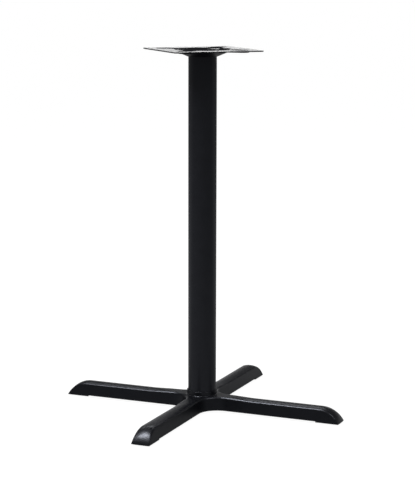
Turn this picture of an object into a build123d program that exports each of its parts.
from build123d import *
import math
import os

os.makedirs("parts", exist_ok=True)

# Bistro table base: a cast cross on four levelling glides, a round steel column,
# and a pressed steel plate that screws up into a tabletop. One long tie rod pulls
# the plate, the column and the casting together.
# Origin on the floor, under the column. The plate's sides run along X and Y, and
# the four legs run out to its corners. All sizes are in millimetres.

# Overall sizes
overall_height = 985.0
leg_reach = 403.5
quarter_turns = [0, 90, 180, 270]
corner_names = ["back_right", "back_left", "front_left", "front_right"]

# Cross casting, outside
hub_half_width = 24.5
toe_half_width = 25.25
web_radius = 54.0
casting_top = 43.5
rim_height = 7.0
pad_height = 4.5
pad_length = 64.0
draft_angle = 8.0
crown_radius = 45.0
crown_run = 75.0
shoulder_radius = 7.0
nose_radius = 64.0
nose_crown_share = 0.2
nose_shoulder_share = 0.45

# Cross casting, underside
casting_wall = 5.0
core_corner_radius = 3.0
hub_boss_radius = 23.0
hub_boss_height = 24.0
hub_rib_thickness = 6.0
hub_rib_recess = 3.0
glide_boss_radius = 11.0
glide_inset = 31.0

# Socket ring round the foot of the column
socket_wall = 2.9
socket_height = 12.5
socket_clearance = 0.3
socket_root_radius = 2.0
socket_lip_radius = 1.0

# Column tube
column_radius = 38.1
column_wall = 2.0

# Pressed top plate
plate_side = 250.0
plate_corner_radius = 10.0
sheet = 3.0
dish_radius = 79.0
dish_depth = 16.0
seat_overhang = 1.9
cup_depth = 14.0
cup_clearance = 0.3
bend_radius = 3.0
channel_reach = 135.0
channel_half_width = 21.0
channel_depth = 3.5
channel_run = 5.0
screw_spacing = 220.0
screw_hole_radius = 3.5

# Tie rod and its fasteners
rod_radius = 5.0
rod_hole_clearance = 0.6
rod_end_length = 3.5
rod_chamfer = 1.0
thread_clearance = 0.05
nut_flats = 17.0
nut_height = 8.4
nut_corner_width = 1.2
nut_corner_height = 0.7
washer_radius = 16.0
washer_thickness = 2.5
washer_chamfer = 0.4
lock_washer_radius = 9.2
lock_washer_thickness = 2.2
lock_washer_split = 1.2
lock_washer_slant = 30.0

# Levelling glides
glide_radius = 12.0
glide_thickness = 6.0
glide_edge_chamfer = 1.2
glide_gap = 0.3
stud_radius = 4.0
stud_length = 24.0
stud_chamfer = 0.8
stud_flange_flats = 13.0
stud_flange_thickness = 3.0
stud_hole_depth = 26.0

# Heights and places that follow from the sizes above
draft = math.tan(math.radians(draft_angle))
trim = 20.0
foot_plane = pad_height - trim
nose_centre = casting_top - nose_radius
nose_length = math.sqrt(nose_radius**2 - (pad_height - nose_centre)**2)
nose_start = leg_reach - nose_length
leg_start = hub_half_width + web_radius
seat_height = overall_height - dish_depth - sheet
cup_radius = column_radius - column_wall - cup_clearance
cup_floor = seat_height - cup_depth
glide_reach = leg_reach - glide_inset
glide_seat = glide_thickness + glide_gap
past = 1.0


def side_offset(height):
    """How far a drafted wall has moved in, measured from the rim of the casting."""
    return (height - rim_height) * draft


def half_width(reach):
    """Half the width of a leg at its rim."""
    share = (reach - leg_start) / (leg_reach - leg_start)
    return hub_half_width + (toe_half_width - hub_half_width) * share


def crown_blend(reach):
    """0 where the leg leaves the flat hub, rising smoothly to 1 along the leg."""
    share = min(max((reach - leg_start) / crown_run, 0), 1)
    return share * share * (3 - 2 * share)


def leg_section(reach, top, inset, corner, crown_share):
    """Section across a leg: drafted sides, rounded shoulders and a crowned top."""
    half = half_width(reach) - inset
    radius = crown_radius - inset
    edge = half - side_offset(top)
    shoulder = top - crown_share * (radius - math.sqrt(radius**2 - edge**2))
    low = (half - side_offset(foot_plane), foot_plane)
    high = (half - side_offset(shoulder), shoulder)
    low_far = (-low[0], low[1])
    high_far = (-high[0], high[1])
    if crown_share > 0:
        crown = ThreePointArc(high, (0, top), high_far)
    else:
        crown = Line(high, high_far)
    outline = Line(low, high) + crown + Line(high_far, low_far) + Line(low_far, low)
    face = make_face(outline)
    shoulders = face.vertices().sort_by(Axis.Y)[-2:]
    rounded = fillet(shoulders, corner)
    across = Plane(origin=(reach, 0, 0), x_dir=(0, 1, 0), z_dir=(1, 0, 0))
    return across * rounded


def nose_section(angle, last_angle, inset, corner):
    """Section of the toe where its top has turned down by an angle along the nose arc.

    The crown and the shoulders fade towards the tip, so the toe ends in a broad face.
    """
    radius = nose_radius - inset
    reach = nose_start + radius * math.sin(angle)
    top = nose_centre + radius * math.cos(angle)
    fade = angle / last_angle
    crown_share = 1 - (1 - nose_crown_share) * fade
    shoulder_share = 1 - (1 - nose_shoulder_share) * fade
    return leg_section(reach, top, inset, corner * shoulder_share, crown_share)


def hub_form(inset, corner):
    """The flat hub with four stubs, blended in plan by the wide web arcs."""
    half = hub_half_width - inset - side_offset(foot_plane)
    arm = leg_start + trim
    plan = Rectangle(2 * arm, 2 * half) + Rectangle(2 * half, 2 * arm)
    inner = [v for v in plan.vertices() if max(abs(v.X), abs(v.Y)) < arm - past]
    plan = fillet(inner, web_radius + inset + side_offset(foot_plane))
    height = casting_top - inset - foot_plane
    hub = Pos(0, 0, foot_plane) * extrude(plan, amount=height, taper=draft_angle)
    top = hub.faces().sort_by(Axis.Z)[-1]
    middles = {edge: edge @ 0.5 for edge in top.edges()}
    inside = arm - height * draft - past
    shoulders = [e for e, mid in middles.items() if max(abs(mid.X), abs(mid.Y)) < inside]
    hub = fillet(shoulders, corner)
    return hub & Box(2 * leg_start, 2 * leg_start, 4 * casting_top)


def casting_form(inset, corner):
    """Hub, legs and toes as one smooth form, drawn in from the outside by inset."""
    top = casting_top - inset
    stations = [leg_start + crown_run * k / 5 for k in range(6)]
    blend = loft([leg_section(reach, top, inset, corner, crown_blend(reach)) for reach in stations])
    turn_in = nose_start - corner
    straight = loft([leg_section(reach, top, inset, corner, 1) for reach in (stations[-1], turn_in)])
    last_angle = math.acos((foot_plane + trim / 2 - nose_centre) / (nose_radius - inset))
    sections = [leg_section(turn_in, top, inset, corner, 1)]
    sections += [nose_section(last_angle * k / 6, last_angle, inset, corner) for k in range(7)]
    nose = loft(sections)
    leg = blend + [straight, nose]
    form = hub_form(inset, corner) + [Rot(0, 0, turn) * leg for turn in quarter_turns]
    return Rot(0, 0, 45) * form


def at_corners(shape):
    """Copies of a shape that lies along +X, turned onto the four legs."""
    return [Rot(0, 0, 45 + turn) * shape for turn in quarter_turns]


def post(radius, low, high, x=0):
    """Upright cylinder between two heights."""
    return Pos(x, 0, (low + high) / 2) * Cylinder(radius, high - low)


def cross_base():
    outside = casting_form(0, shoulder_radius)
    core = casting_form(casting_wall, core_corner_radius)

    boss = post(hub_boss_radius, hub_boss_height, casting_top)
    rib_reach = (hub_half_width + web_radius) * math.sqrt(2) - web_radius
    rib_depth = casting_top - hub_boss_height - hub_rib_recess
    rib = Pos(0, 0, casting_top - rib_depth / 2) * Box(2 * rib_reach, hub_rib_thickness, rib_depth)
    glide_bosses = at_corners(post(glide_boss_radius, glide_seat, casting_top, glide_reach))
    inner = [boss & outside, rib & outside, (Rot(0, 0, 90) * rib) & outside]
    inner += [glide_boss & outside for glide_boss in glide_bosses]
    solid = (outside - core) + inner

    socket_inside = column_radius + socket_clearance
    socket_outside = socket_inside + socket_wall
    socket_top = casting_top + socket_height
    ring = post(socket_outside, casting_top - past, socket_top)
    ring -= post(socket_inside, casting_top, socket_top + past)
    solid += ring
    root = [
        e
        for e in solid.edges().filter_by(GeomType.CIRCLE)
        if abs(e.radius - socket_outside) < 0.01 and abs(e.arc_center.Z - casting_top) < 0.01
    ]
    solid = fillet(root, socket_root_radius)
    lip = [
        e
        for e in solid.edges().filter_by(GeomType.CIRCLE)
        if abs(e.radius - socket_outside) < 0.01 and abs(e.arc_center.Z - socket_top) < 0.01
    ]
    solid = fillet(lip, socket_lip_radius)

    below_pads = post(2 * leg_reach, foot_plane - past, pad_height)
    below_rim = post(leg_reach - pad_length, foot_plane - past, rim_height)
    rod_hole = post(rod_radius + rod_hole_clearance, 0, casting_top + past)
    stud_hole_top = glide_seat + stud_hole_depth
    stud_hole = post(stud_radius + thread_clearance, glide_seat - past, stud_hole_top, glide_reach)
    return solid - [below_pads, below_rim, rod_hole] - at_corners(stud_hole)


def column():
    tube = post(column_radius, casting_top, seat_height)
    return tube - post(column_radius - column_wall, casting_top - past, seat_height + past)


def above_sheet(depth):
    """All the space above the pressed sheet, measured from its top face down by depth.

    The top face is at depth 0 and the underside is one sheet thickness lower.
    """
    top = overall_height - depth
    rise = dish_depth / (dish_radius - column_radius - seat_overhang)
    slope_drop = depth * math.sqrt(1 + rise**2) - depth
    shift = slope_drop / rise
    wall = cup_radius - sheet + depth
    lip_height = top - dish_depth
    floor_height = cup_floor + sheet - depth
    reach = plate_side
    ceiling = overall_height + dish_depth
    profile = Polyline(
        (0, ceiling),
        (reach, ceiling),
        (reach, top),
        (dish_radius + shift, top),
        (column_radius + seat_overhang + shift, lip_height),
        (wall, lip_height),
        (wall, floor_height),
        (0, floor_height),
        close=True,
    )
    face = make_face(profile)

    def corner(across, height):
        """The corner of the profile nearest to a point."""
        return face.vertices().sort_by(lambda v: math.hypot(v.X - across, v.Y - height))[0]

    face = fillet(corner(dish_radius + shift, top), 2 * (bend_radius + sheet) - 2 * depth)
    face = fillet(corner(wall, lip_height), cup_clearance + sheet - depth)
    face = fillet(corner(wall, floor_height), bend_radius + depth)
    return revolve(Plane.XZ * face, axis=Axis.Z)


def channel(depth):
    """Space inside one pressed channel, from the dish out towards a corner."""
    slope = math.atan2(channel_depth, channel_run)
    grow = depth * math.tan(slope / 2)
    top = overall_height - depth
    floor = top - channel_depth
    start = column_radius
    wide = channel_half_width + grow
    narrow = wide - channel_run
    end = channel_reach - channel_half_width
    wide_outline = Pos(start, 0) * Rectangle(2 * (end - start), 2 * wide) + Pos(end, 0) * Circle(wide)
    narrow_outline = Pos(start, 0) * Rectangle(2 * (end - start), 2 * narrow) + Pos(end, 0) * Circle(narrow)
    return loft([Pos(0, 0, floor) * narrow_outline, Pos(0, 0, top) * wide_outline])


def top_plate():
    outline = RectangleRounded(plate_side, plate_side, plate_corner_radius)
    blank = Pos(0, 0, cup_floor - past) * extrude(outline, amount=overall_height - cup_floor + past)
    under = above_sheet(sheet) + at_corners(channel(sheet))
    over = above_sheet(0) + at_corners(channel(0))
    plate = (under - over) & blank
    screw_reach = screw_spacing / math.sqrt(2)
    screw_low = overall_height - dish_depth
    screw_holes = at_corners(post(screw_hole_radius, screw_low, overall_height + past, screw_reach))
    rod_hole = post(rod_radius + rod_hole_clearance, cup_floor - past, cup_floor + sheet + past)
    return plate - screw_holes - rod_hole


def hexagon(across_flats, low, thickness, x=0):
    """Upright hexagonal prism."""
    corner = across_flats / 2 / math.cos(math.radians(30))
    return Pos(x, 0, low) * extrude(RegularPolygon(corner, 6), amount=thickness)


def hex_nut(low):
    """Hexagon nut with chamfered corners, standing on the given height."""
    body = hexagon(nut_flats, low, nut_height)
    crown = post(nut_flats / 2 / math.cos(math.radians(30)), low, low + nut_height)
    crown = chamfer(crown.edges().filter_by(GeomType.CIRCLE), nut_corner_width, nut_corner_height)
    return (body & crown) - post(rod_radius + thread_clearance, low - past, low + nut_height + past)


def washer(low):
    """Flat washer with eased edges."""
    ring = post(washer_radius, low, low + washer_thickness)
    ring = chamfer(ring.edges().filter_by(GeomType.CIRCLE), washer_chamfer)
    return ring - post(rod_radius + rod_hole_clearance, low - past, low + washer_thickness + past)


def lock_washer(low):
    """Split spring washer, shown pressed flat, with its slanted cut."""
    high = low + lock_washer_thickness
    ring = post(lock_washer_radius, low, high)
    ring -= post(rod_radius + thread_clearance, low - past, high + past)
    length = 2 * (lock_washer_radius - rod_radius) + past
    split = Rot(lock_washer_slant, 0, 0) * Box(length, lock_washer_split, 4 * lock_washer_thickness)
    return ring - Pos(lock_washer_radius, 0, (low + high) / 2) * split


def tie_rod(low, high):
    """Long rod that pulls the plate down onto the column and the column onto the casting."""
    rod = post(rod_radius, low, high)
    return chamfer(rod.edges().filter_by(GeomType.CIRCLE), rod_chamfer)


def glide_stud():
    """Screw of a levelling glide, with the hexagon flange that is moulded into the foot."""
    flange_low = glide_thickness - stud_flange_thickness
    shank = post(stud_radius, flange_low, glide_thickness + stud_length, glide_reach)
    shank = chamfer(shank.edges().sort_by(Axis.Z)[-1], stud_chamfer)
    return shank + hexagon(stud_flange_flats, flange_low, stud_flange_thickness, glide_reach)


def glide_foot():
    """Moulded foot of a levelling glide, with a pocket for the flange of the screw."""
    foot = post(glide_radius, 0, glide_thickness, glide_reach)
    foot = chamfer(foot.edges().filter_by(GeomType.CIRCLE), glide_edge_chamfer)
    pocket_low = glide_thickness - stud_flange_thickness
    pocket_flats = stud_flange_flats + 2 * thread_clearance
    return foot - hexagon(pocket_flats, pocket_low, stud_flange_thickness + past, glide_reach)


# Heights of the fasteners at each end of the tie rod
bottom_washer_low = hub_boss_height - washer_thickness
bottom_lock_low = bottom_washer_low - lock_washer_thickness
bottom_nut_low = bottom_lock_low - nut_height
top_washer_low = cup_floor + sheet
top_lock_low = top_washer_low + washer_thickness
top_nut_low = top_lock_low + lock_washer_thickness

nodes = {
    "cross_base": cross_base(),
    "column": column(),
    "top_plate": top_plate(),
    "tie_rod": tie_rod(bottom_nut_low - rod_end_length, top_nut_low + nut_height + rod_end_length),
    "bottom_washer": washer(bottom_washer_low),
    "bottom_lock_washer": lock_washer(bottom_lock_low),
    "bottom_nut": hex_nut(bottom_nut_low),
    "top_washer": washer(top_washer_low),
    "top_lock_washer": lock_washer(top_lock_low),
    "top_nut": hex_nut(top_nut_low),
}
for name, stud, foot in zip(corner_names, at_corners(glide_stud()), at_corners(glide_foot())):
    nodes["glide_stud_" + name] = stud
    nodes["glide_foot_" + name] = foot

for name, shape in nodes.items():
    export_step(shape, f"parts/{name}.step")
    print(name, round(shape.volume), shape.is_valid)
